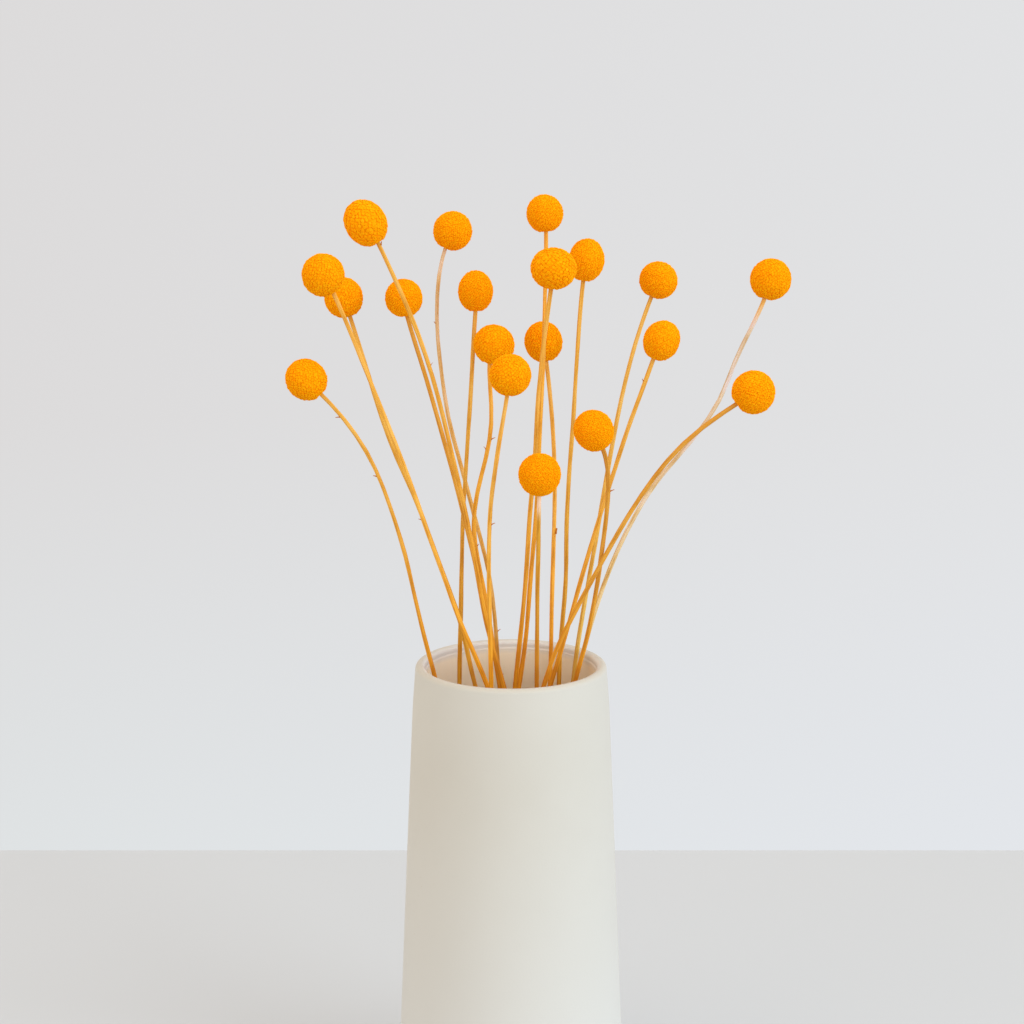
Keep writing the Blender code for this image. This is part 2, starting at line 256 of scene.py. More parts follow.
@dataclass(frozen=True)
class StonewareFinish:
    """Matte cream stoneware: faintly clouded outside, with painted light towards the foot, on the
    lip's inner band and, warmer, inside, and painted shade on the lip's crown and in its groove.
    """

    rim_height: float
    name: str = "matte_cream_stoneware"
    pale: tuple = (0.625, 0.605, 0.552)
    deep: tuple = (0.600, 0.578, 0.522)
    foot: tuple = (0.690, 0.688, 0.668)
    crown: tuple = (0.560, 0.525, 0.455)
    band: tuple = (0.740, 0.735, 0.725)
    inside: tuple = (0.930, 0.835, 0.670)
    groove: tuple = (0.560, 0.460, 0.380)
    speck: tuple = (0.480, 0.400, 0.270)
    groove_drop: float = 4.2 * MM
    groove_reach: float = 1.0 * MM
    groove_shadow_strength: float = 0.30
    inside_fade: float = 3.0
    foot_light_reach: float = 0.8
    crown_shade_from: float = 2.2 * MM
    crown_shade_to: float = 0.6 * MM
    speck_strength: float = 0.5
    cloud_scale: float = 14.0
    grain_scale: float = 900.0
    grog_scale: float = 230.0
    grain_height: float = 0.12 * MM
    grain_strength: float = 0.35
    roughness: float = 0.62
    gloss: float = 0.30

    def material(self) -> bpy.types.Material:
        """Makes the material.

        Returns:
            The finished material.
        """
        bench = new_material(self.name, self.roughness, self.gloss)
        place, noise = bench.own_place(), "ShaderNodeTexNoise"
        cloud = bench.add_at(place, noise, Scale=self.cloud_scale, Detail=4.0, Roughness=0.5)
        grain = bench.add_at(place, noise, Scale=self.grain_scale, Detail=3.0, Roughness=0.6)
        grog = bench.add_at(place, "ShaderNodeTexVoronoi", Scale=self.grog_scale, Randomness=1.0)
        rise = bench.add_at(place, "ShaderNodeSeparateXYZ").outputs["Z"]
        clouded = bench.ramp(cloud.outputs["Fac"], [(0.30, self.deep), (0.70, self.pale)])
        # Painted light: the outside turns lighter and cooler towards the foot, as if lit from the
        # table below.
        low = bench.span(rise, self.rim_height * self.foot_light_reach, 0.0)
        # Painted shade: the outside is darkened on the lip's crown, which faces the lamp above.
        crown_shading = bench.span(rise, self.rim_height - self.crown_shade_from, self.rim_height - self.crown_shade_to)
        outside = bench.mix(crown_shading, bench.mix(low, clouded, self.foot), self.crown)
        # Painted light: inside the mouth the lip's inner band is painted lighter than the outside,
        # and the wall below it lighter and warmer still.
        inner = bench.attribute("inner", "Fac")
        band_end = self.rim_height - self.groove_drop
        fade_end = band_end - self.inside_fade * self.groove_reach
        below = bench.span(rise, band_end + self.groove_reach, fade_end)
        body = bench.mix(inner, outside, bench.mix(below, self.band, self.inside))
        # Painted shadow: a soft dark line inside the lip, at the step below its inner band.
        line = bench.mix(inner, BLACK, self.groove_shadow_line(bench, rise))
        groove_shadowed = bench.mix(line, body, self.groove)
        specks = bench.ramp(grog.outputs["Distance"], [(0.04, WHITE), (0.10, BLACK)])
        faint = (self.speck_strength,) * 3
        few = bench.ramp(cloud.outputs["Fac"], [(0.57, BLACK), (0.64, faint)])
        colour = bench.mix(bench.mix(1.0, specks, few, "MULTIPLY"), groove_shadowed, self.speck)
        bench.wire(colour, bench.shader.inputs["Base Color"])
        bench.bump(grain.outputs["Fac"], self.grain_height, self.grain_strength)
        return bench.owner

    def groove_shadow_line(self, bench: NodeBench, rise: bpy.types.NodeSocket) -> bpy.types.NodeSocket:
        """Paints a soft line of shadow at the step under the lip's inner band.

        Args:
            bench: the material's bench.
            rise: the socket of the height on the vase.

        Returns:
            The line's strength.
        """
        middle = self.rim_height - self.groove_drop
        nearness = bench.span(rise, middle - self.groove_reach, middle + self.groove_reach)
        full = (self.groove_shadow_strength,) * 3
        return bench.ramp(nearness, [(0.0, BLACK), (0.5, full), (1.0, BLACK)])


@dataclass(frozen=True)
class StalkFinish:
    """A dried stalk: fine streaks along it, painted shade in its furrows, changing from foot to
    neck with painted shade at the foot and rim.
    """

    tone: StalkTone
    furrow_shade: tuple = (0.66, 0.26, 0.012)
    scrap: tuple = (0.48, 0.16, 0.010)
    dark_streak: tuple = (0.70, 0.59, 0.44)
    pale_streak: tuple = (1.06, 1.12, 1.30)
    brown_stain: tuple = (0.80, 0.72, 0.60)
    bleached_stain: tuple = (1.05, 1.16, 1.75)
    streak_scale: tuple = (1100.0, 1100.0, 45.0)
    stain_scale: tuple = (260.0, 260.0, 70.0)
    mark_share: float = 0.9
    furrow_shade_strength: float = 0.35
    streak_height: float = 0.2 * MM
    streak_strength: float = 0.5
    roughness: float = 0.72
    gloss: float = 0.3

    def material(self) -> bpy.types.Material:
        """Makes the material.

        Returns:
            The finished material.
        """
        name = f"dried_stalk_{self.tone.name.lower()}"
        bench = new_material(name, self.roughness, self.gloss)
        around, mapping = bench.attribute("around", "Vector"), "ShaderNodeMapping"
        stretched = bench.add_at(around, mapping, Scale=self.streak_scale).outputs["Vector"]
        streak = bench.add_at(stretched, "ShaderNodeTexNoise", Scale=1.0, Detail=4.0, Roughness=0.6)
        spread = bench.add_at(around, mapping, Scale=self.stain_scale).outputs["Vector"]
        blotch = bench.add_at(spread, "ShaderNodeTexNoise", Scale=1.0, Detail=3.0, Roughness=0.65)
        # Painted shade: the stalk's colour darkens towards its foot and at the rim, where it goes
        # down into the vase.
        tones = list(zip(self.tone.stops, self.tone.value))
        body = bench.ramp(bench.attribute("along", "Fac"), tones)
        stains = [(0.36, self.brown_stain), (0.50, WHITE), (0.68, self.bleached_stain)]
        stain = bench.ramp(blotch.outputs["Fac"], stains)
        streaks = [(0.36, self.dark_streak), (0.50, WHITE), (0.66, self.pale_streak)]
        lines = bench.ramp(streak.outputs["Fac"], streaks)
        stained = bench.mix(self.mark_share, body, stain, "MULTIPLY")
        streaked = bench.mix(self.mark_share, stained, lines, "MULTIPLY")
        # Painted shade: the furrows between the ribs are darkened.
        furrows = [(0.0, (self.furrow_shade_strength,) * 3), (0.6, BLACK)]
        low = bench.ramp(bench.attribute("ridge", "Fac"), furrows)
        furrowed = bench.mix(low, streaked, self.furrow_shade)
        colour = bench.mix(bench.attribute("scrap", "Fac"), furrowed, self.scrap)
        bench.wire(colour, bench.shader.inputs["Base Color"])
        bench.bump(streak.outputs["Fac"], self.streak_height, self.streak_strength)
        return bench.owner


@dataclass(frozen=True)
class FloretFinish:
    """Packed dry florets, each floret its own shade, with painted shade and light by height: burnt
    orange low down and on the core, golden at the tips.
    """

    name: str = "packed_golden_florets"
    throat: tuple = (0.92, 0.300, 0.001)
    body: tuple = (0.94, 0.330, 0.001)
    tip: tuple = (0.95, 0.370, 0.001)
    dull: tuple = (0.93, 0.300, 0.001)
    bright: tuple = (0.96, 0.440, 0.004)
    shaded: tuple = (0.95, 0.90, 0.85)
    own_share: float = 0.55
    patch_scale: float = 130.0
    patch_share: float = 0.8
    roughness: float = 0.95
    gloss: float = 0.03

    def material(self) -> bpy.types.Material:
        """Makes the material.

        Returns:
            The finished material.
        """
        bench = new_material(self.name, self.roughness, self.gloss)
        # Painted shade and light: each floret is deeper orange at its base and more golden towards
        # its tip, by its height.
        heights = [(0.10, self.throat), (0.55, self.body), (0.95, self.tip)]
        depth = bench.ramp(bench.attribute("rise", "Fac"), heights)
        shades = [(0.0, self.dull), (0.55, self.tip), (1.0, self.bright)]
        own = bench.ramp(bench.attribute("shade", "Fac"), shades)
        colour = bench.mix(self.own_share, depth, own)
        place = bench.own_place()
        patch = bench.add_at(place, "ShaderNodeTexNoise", Scale=self.patch_scale, Detail=2.0)
        drift = bench.ramp(patch.outputs["Fac"], [(0.3, self.shaded), (0.65, WHITE)])
        drifted = bench.mix(self.patch_share, colour, drift, "MULTIPLY")
        bench.wire(drifted, bench.shader.inputs["Base Color"])
        return bench.owner


@dataclass(frozen=True)
class FloorFinish:
    """A plain pale matte table top."""

    name: str = "pale_table"
    colour: tuple = (0.568, 0.580, 0.596)
    cool: tuple = (0.554, 0.570, 0.590)
    cloud_scale: float = 1.4
    roughness: float = 0.6
    gloss: float = 0.5

    def material(self) -> bpy.types.Material:
        """Makes the material.

        Returns:
            The finished material.
        """
        bench = new_material(self.name, self.roughness, self.gloss)
        place = bench.own_place()
        cloud = bench.add_at(place, "ShaderNodeTexNoise", Scale=self.cloud_scale, Detail=2.0)
        colour = bench.ramp(cloud.outputs["Fac"], [(0.3, self.cool), (0.7, self.colour)])
        bench.wire(colour, bench.shader.inputs["Base Color"])
        return bench.owner


def deselect() -> None:
    """Leaves object mode with nothing selected."""
    if bpy.context.object and bpy.context.object.mode != "OBJECT":
        bpy.ops.object.mode_set(mode="OBJECT")
    bpy.ops.object.select_all(action="DESELECT")


def pick(obj: bpy.types.Object) -> None:
    """Selects one object alone and makes it active.

    Args:
        obj: the object.
    """
    deselect()
    obj.select_set(True)
    bpy.context.view_layer.objects.active = obj


def mesh_points(mesh: bpy.types.Mesh) -> np.ndarray:
    """Reads a mesh's points.

    Args:
        mesh: the mesh.

    Returns:
        One row of x, y and z for each point.
    """
    points = np.empty(len(mesh.vertices) * 3)
    mesh.vertices.foreach_get("co", points)
    return points.reshape(-1, 3)


def solid_points(name: str) -> np.ndarray:
    """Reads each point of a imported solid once."""
    return np.unique(mesh_points(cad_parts[name].data).round(6), axis=0)


def set_attribute(mesh: bpy.types.Mesh, name: str, kind: str, values: np.ndarray) -> None:
    """Stores one value for each point of a mesh.

    Args:
        mesh: the mesh.
        name: the attribute's name.
        kind: FLOAT or FLOAT_VECTOR.
        values: the values in the order of the points.
    """
    layer = mesh.attributes.new(name, kind, "POINT")
    layer.data.foreach_set("vector" if kind == "FLOAT_VECTOR" else "value", np.ravel(values))


@dataclass
class Vase:
    """The tall tapered vase, turned in one piece about the upright axis."""

    node: str = "vase"
    wall: float = 5.0 * MM
    lip_curve: float = 2.4 * MM
    lip_band: float = 4.0 * MM
    lip_step: float = 0.6 * MM
    shoulder_drop: float = 22.0 * MM
    lip_radius: float = 49.2 * MM
    shoulder_radius: float = 50.9 * MM
    middle_radius: float = 54.7 * MM
    middle_height: float = 146.0 * MM
    foot_curve: float = 3.0 * MM
    floor_thickness: float = 6.0 * MM
    floor_curve: float = 7.0 * MM
    steps: int = 160
    arc_steps: int = 8
    inside_rows: int = 14
    ledge_rows: int = 6
    outside_rows: int = 30
    weld: float = 0.02 * MM
    smooth_angle: float = 32.0
    inner_from: float = 0.55
    inner_reach: float = 0.4
    height: float = field(init=False)
    foot_radius: float = field(init=False)

    def __post_init__(self) -> None:
        """Takes the vase's height and foot from its solid."""
        low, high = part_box(self.node)
        self.height = high.z
        self.foot_radius = (high.x - low.x) / 2

    def outside(self, z: float) -> float:
        """Finds the outside radius at a height.

        Args:
            z: the height.

        Returns:
            The radius.
        """
        heights = (0.0, self.middle_height, self.height - self.shoulder_drop, self.height)
        radii = (self.foot_radius, self.middle_radius, self.shoulder_radius, self.lip_radius)
        return float(np.interp(z, heights, radii))

    def arc(self, x: float, z: float, radius: float, start: float, end: float) -> list:
        """Lays points along an arc of the section.

        Args:
            x: the arc's centre, out from the axis.
            z: the arc's centre, up.
            radius: the arc's radius.
            start: the first angle in degrees.
            end: the last angle in degrees.

        Returns:
            The points as (x, z).
        """
        angles = np.radians(np.linspace(start, end, self.arc_steps + 1))
        return [(x + radius * math.cos(a), z + radius * math.sin(a)) for a in angles]

    def section(self) -> list:
        """Draws half of the vase's section.

        Returns:
            Points as (x, z), from the inside floor round the lip to the underside.
        """
        inset = self.wall + self.lip_step
        corner_z = self.floor_thickness + self.floor_curve
        corner_x = self.outside(corner_z) - inset - self.floor_curve
        lip_z = self.height - self.lip_curve
        band_z = self.height - self.lip_band
        lip_inner = self.outside(lip_z) - self.wall
        points = [(0.0, self.floor_thickness), (corner_x / 2, self.floor_thickness)]
        points += self.arc(corner_x, corner_z, self.floor_curve, -90, 0)
        for z in np.linspace(corner_z, band_z - self.lip_step, self.inside_rows)[1:]:
            points.append((self.outside(z) - inset, z))
        for share in np.linspace(0.0, 1.0, self.ledge_rows)[1:]:
            eased = share * share * (3.0 - 2.0 * share)
            z = band_z - self.lip_step + 2.0 * self.lip_step * share
            points.append((self.outside(z) - inset + self.lip_step * eased, z))
        points += self.arc(lip_inner + self.lip_curve, lip_z, self.lip_curve, 180, 90)
        points += self.arc(self.outside(lip_z) - self.lip_curve, lip_z, self.lip_curve, 90, 0)
        for z in np.linspace(lip_z, self.foot_curve, self.outside_rows)[1:-1]:
            points.append((self.outside(z), z))
        foot = self.foot_curve
        points += self.arc(self.foot_radius - foot, foot, foot, 0, -90)
        points += [(self.foot_radius / 2, 0.0), (0.0, 0.0)]
        return points

    def build(self) -> bpy.types.Object:
        """Turns the section into the vase.

        Returns:
            The vase's object.
        """
        points = [(x, 0.0, z) for x, z in self.section()]
        mesh = bpy.data.meshes.new("turned_vase")
        mesh.from_pydata(points, [(i, i + 1) for i in range(len(points) - 1)], [])
        vase = bpy.data.objects.new("turned_vase", mesh)
        bpy.context.scene.collection.objects.link(vase)
        pick(vase)
        bpy.ops.object.mode_set(mode="EDIT")
        bpy.ops.mesh.select_all(action="SELECT")
        bpy.ops.mesh.spin(steps=self.steps, angle=math.tau, center=(0, 0, 0), axis=(0, 0, 1))
        bpy.ops.mesh.select_all(action="SELECT")
        bpy.ops.mesh.remove_doubles(threshold=self.weld)
        bpy.ops.mesh.normals_make_consistent(inside=False)
        bpy.ops.object.mode_set(mode="OBJECT")
        bpy.ops.object.shade_smooth_by_angle(angle=math.radians(self.smooth_angle))
        self.mark_inside(vase.data)
        return vase

    def mark_inside(self, mesh: bpy.types.Mesh) -> None:
        """Stores how far inside the mouth each point lies, from 0 outside to 1 inside the lip.

        Args:
            mesh: the vase's mesh.
        """
        points = mesh_points(mesh)
        outside = np.array([self.outside(z) for z in points[:, 2]])
        depth = outside - np.hypot(points[:, 0], points[:, 1])
        start, reach = self.inner_from * self.wall, self.inner_reach * self.wall
        inner = np.clip((depth - start) / reach, 0.0, 1.0)
        inner[points[:, 2] < self.floor_thickness / 2] = 0.0
        set_attribute(mesh, "inner", "FLOAT", inner)

    def dress(self, vase: bpy.types.Object, finish: StonewareFinish) -> None:
        """Glazes the vase and puts it in its solid's place.

        Args:
            vase: the vase's object.
            finish: its finish.
        """
        vase.data.materials.append(finish.material())
        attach(vase, "root")
        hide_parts(self.node)
        log.info("%s: %d faces", vase.name, len(vase.data.polygons))


@dataclass
class HeadFrame:
    """Where a flower head sits: its centre, the way it faces and its two radii."""

    centre: np.ndarray
    axis: np.ndarray
    across: float
    along: float

    @classmethod
    def of_flower(cls, number: int) -> "HeadFrame":
        """Reads a head's place from its solid and from the tip of its solid stalk.

        Args:
            number: the flower's number.

        Returns:
            The head's place.
        """
        head = solid_points(f"flower_head_{number:02d}")
        stem = solid_points(f"stem_{number:02d}")
        centre = head.mean(0)
        gaps = np.linalg.norm(stem - centre, axis=1)
        tip = stem[gaps < gaps.min() + TIP_REACH].mean(0)
        axis = (centre - tip) / np.linalg.norm(centre - tip)
        rise = (head - centre) @ axis
        across = np.linalg.norm(head - centre - np.outer(rise, axis), axis=1).max()
        return cls(centre, axis, float(across), float(rise.max()))


@dataclass(frozen=True)
class LeafScrap:
    """One curled scrap of dried leaf that clings to a stalk.

    Its height and length are millimetres, and its side is degrees round the stalk from the right.
    Its curl, foot, tip and lift are shares of its length.
    """

    height: float
    side: float
    length: float
    curl: float
    seat: float = 0.9 * MM
    corners: int = 8
    cuts: int = 3
    foot: float = 0.38
    tip: float = 0.24
    thinness: float = 0.55
    curl_power: float = 1.5
    width: float = 0.9
    swell: float = 0.5
    swell_turn: float = 3.0
    shortening: float = 0.35
    lift: float = 0.3
    browning: float = 0.75

    def build(self, at: np.ndarray, way: np.ndarray) -> bpy.types.Object:
        """Shapes the scrap on its stalk.

        Args:
            at: the point on the stalk that it grows from.
            way: the stalk's direction there.

        Returns:
            The scrap's object.
        """
        bpy.ops.mesh.primitive_cone_add(
            vertices=self.corners, radius1=self.foot, radius2=self.tip, depth=1.0
        )
        scrap = bpy.context.object
        bpy.ops.object.mode_set(mode="EDIT")
        bpy.ops.mesh.select_all(action="SELECT")
        bpy.ops.mesh.subdivide(number_cuts=self.cuts)
        bpy.ops.object.mode_set(mode="OBJECT")
        points = mesh_points(scrap.data)
        rise = points[:, 2] + 0.5
        points[:, 0] = points[:, 0] * self.thinness + self.curl * rise**self.curl_power
        points[:, 1] *= self.width + self.swell * np.sin(rise * self.swell_turn)
        points[:, 2] *= 1.0 - self.shortening * self.curl
        points *= self.length * MM
        scrap.data.vertices.foreach_set("co", np.ravel(points))
        up = Vector(way)
        right = Vector((0, 1, 0)).cross(up).normalized()
        out = Matrix.Rotation(math.radians(self.side), 3, up) @ right
        turn = Matrix((out, up.cross(out), up)).transposed().to_4x4()
        seat = Vector(at) + out * self.seat + up * self.length * self.lift * MM
        scrap.data.transform(Matrix.Translation(seat) @ turn)
        count = len(scrap.data.vertices)
        set_attribute(scrap.data, "along", "FLOAT", np.zeros(count))
        set_attribute(scrap.data, "around", "FLOAT_VECTOR", mesh_points(scrap.data))
        set_attribute(scrap.data, "ridge", "FLOAT", np.ones(count))
        set_attribute(scrap.data, "scrap", "FLOAT", np.full(count, self.browning))
        return scrap


@dataclass
class Stalk:
    """One dried stalk, furrowed and slightly uneven, with the scraps of leaf that cling to it."""

    number: int
    tone: StalkTone = StalkTone.AMBER
    scraps: tuple = ()
    slices: int = 44
    rings: int = 150
    ribs: int = 7
    furrow_depth: float = 0.10
    unevenness: float = 0.05
    flat_share: float = 0.93
    sink: float = 1.6 * MM
    rim_share: float = 0.3
    end_margin: float = 3.0 * MM
    foot_lift: float = 0.3 * MM
    smoothings: int = 2
    swell_window: int = 9
    swell_limits: tuple = (-1.5, 0.8)
    twist: float = 2.2
    twist_waves: float = 5.0
    ridge_from: float = 0.86
    ridge_reach: float = 0.12
    smooth_angle: float = 50.0

    @property
    def node(self) -> str:
        """The name of the stalk's solid."""
        return f"stem_{self.number:02d}"

    def read_solid(self) -> tuple:
        """Finds the middle of the solid stalk and its radius, slice by slice.

        Returns:
            The middles, from foot to neck, and the radius at each.
        """
        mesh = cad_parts[self.node].data
        points = mesh_points(mesh)
        ends = np.empty(len(mesh.edges) * 2, int)
        mesh.edges.foreach_get("vertices", ends)
        start = points[ends.reshape(-1, 2)[:, 0]]
        stop = points[ends.reshape(-1, 2)[:, 1]]
        foot, neck = points[:, 2].min() + self.end_margin, points[:, 2].max() - self.end_margin
        heights = np.linspace(foot, neck, self.slices)
        middles, reach = [], []
        for z in heights:
            crossed = (start[:, 2] - z) * (stop[:, 2] - z) < 0
            share = (z - start[crossed, 2]) / (stop[crossed, 2] - start[crossed, 2])
            ring = start[crossed] + (stop[crossed] - start[crossed]) * share[:, None]
            middles.append((ring.min(0) + ring.max(0)) / 2)
            reach.append(ring)
        middles = np.array(middles)
        ways = np.gradient(middles, axis=0)
        ways /= np.linalg.norm(ways, axis=1)[:, None]
        radii = []
        for middle, way, ring in zip(middles, ways, reach):
            out = ring - middle
            out -= np.outer(out @ way, way)
            radii.append(np.linalg.norm(out, axis=1).max())
        taper = np.polyfit(heights, radii, 1)
        return middles, np.polyval(taper, heights)

    def route(self, head: HeadFrame, middles: np.ndarray) -> np.ndarray:
        """Runs the stalk's middle from the foot up into its head.

        Args:
            head: the place of the stalk's head.
            middles: the middles read from the solid.

        Returns:
            Evenly spaced points along the stalk.
        """
        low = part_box(self.node)[0].z
        way = (middles[0] - middles[2]) / (middles[0][2] - middles[2][2])
        foot = middles[0] + way * (low + self.foot_lift - middles[0][2])
        tip = head.centre - head.axis * (head.along * self.flat_share - self.sink)
        points = np.vstack([foot, middles, tip])
        for _ in range(self.smoothings):
            points[1:-1] = 0.25 * points[:-2] + 0.5 * points[1:-1] + 0.25 * points[2:]
        steps = np.linalg.norm(np.diff(points, axis=0), axis=1)
        travelled = np.concatenate([[0.0], np.cumsum(steps)])
        wanted = np.linspace(0.0, travelled[-1], self.rings)
        return np.stack([np.interp(wanted, travelled, points[:, k]) for k in range(3)], 1)

    def build_tube(self, route: np.ndarray, radii: np.ndarray) -> bpy.types.Object:
        """Sweeps a ribbed section along the stalk.

        Args:
            route: points along the stalk's middle.
            radii: the stalk's radius at each of them.

        Returns:
            The stalk as a mesh object.
        """
        draw = np.random.default_rng(SEED + self.number)
        sides = 2 * self.ribs
        section = bpy.data.curves.new("section", "CURVE")
        line = section.splines.new("POLY")
        line.points.add(sides - 1)
        line.use_cyclic_u = True
        for k, point in enumerate(line.points):
            angle = -math.tau * k / sides
            reach = 1.0 - self.furrow_depth * (k % 2)
            point.co = (reach * math.cos(angle), reach * math.sin(angle), 0.0, 1.0)
        shape = bpy.data.objects.new("section", section)
        curve = bpy.data.curves.new("stalk", "CURVE")
        curve.dimensions = "3D"
        curve.bevel_mode = "OBJECT"
        curve.bevel_object = shape
        curve.use_fill_caps = True
        spline = curve.splines.new("POLY")
        spline.points.add(self.rings - 1)
        noise = draw.normal(0.0, 1.0, self.rings + self.swell_window - 1)
        window = np.ones(self.swell_window) / math.sqrt(self.swell_window)
        swell = np.clip(np.convolve(noise, window, "valid"), *self.swell_limits)
        for k, point in enumerate(spline.points):
            point.co = (*route[k], 1.0)
            point.radius = radii[k] * (1.0 + self.unevenness * float(swell[k]))
            point.tilt = self.twist * math.sin(k / self.rings * self.twist_waves + self.number)
        stalk = bpy.data.objects.new(f"stalk_{self.number:02d}", curve)
        bpy.context.scene.collection.objects.link(stalk)
        pick(stalk)
        bpy.ops.object.convert(target="MESH")
        stalk = bpy.context.object
        bpy.data.objects.remove(shape)
        self.mark_tube(stalk.data, route)
        return stalk

    def mark_tube(self, mesh: bpy.types.Mesh, route: np.ndarray) -> None:
        """Stores where each point lies along and around the stalk, for its finish.

        Args:
            mesh: the stalk's mesh.
            route: points along the stalk's middle.
        """
        points = mesh_points(mesh)
        gaps = np.linalg.norm(points[:, None, :] - route[None, :, :], axis=2)
        nearest = gaps.argmin(1)
        out = points - route[nearest]
        travelled = nearest * np.linalg.norm(route[1] - route[0])
        reach = np.linalg.norm(out, axis=1)
        around = np.column_stack([out[:, 0], out[:, 1] + out[:, 2] * 0.5, travelled])
        outer = np.percentile(reach, 95)
        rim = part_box("vase")[1].z
        heights = (0.0, rim, route[-1, 2])
        along = np.interp(points[:, 2], heights, (0.0, self.rim_share, 1.0))
        set_attribute(mesh, "along", "FLOAT", along)
        set_attribute(mesh, "around", "FLOAT_VECTOR", around)
        ridge = np.clip((reach / outer - self.ridge_from) / self.ridge_reach, 0.0, 1.0)
        set_attribute(mesh, "ridge", "FLOAT", ridge)
        set_attribute(mesh, "scrap", "FLOAT", np.zeros(len(points)))

    def build(self) -> tuple:
        """Builds the stalk with its scraps.

        Returns:
            The stalk's object and the place of its head.
        """
        middles, thickness = self.read_solid()
        head = HeadFrame.of_flower(self.number)
        route = self.route(head, middles)
        radii = np.interp(route[:, 2], middles[:, 2], thickness)
        stalk = self.build_tube(route, radii)
        pieces = [stalk]
        for scrap in self.scraps:
            k = int(np.abs(route[:, 2] - scrap.height * MM).argmin())
            way = route[min(k + 2, self.rings - 1)] - route[max(k - 2, 0)]
            way /= np.linalg.norm(way)
            deselect()
            pieces.append(scrap.build(route[k], way))
        pick(stalk)
        for piece in pieces:
            piece.select_set(True)
        if len(pieces) > 1:
            bpy.ops.object.join()
        bpy.ops.object.shade_smooth_by_angle(angle=math.radians(self.smooth_angle))
        return stalk, head

    def dress(self, stalk: bpy.types.Object, material: bpy.types.Material) -> None:
        """Colours the stalk and puts it in its solid's place.

        Args:
            stalk: the stalk's object.
            material: its finish.
        """
        stalk.data.materials.clear()
        stalk.data.materials.append(material)
        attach(stalk, "root")
        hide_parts(self.node)
        log.info("%s: %d faces", stalk.name, len(stalk.data.polygons))


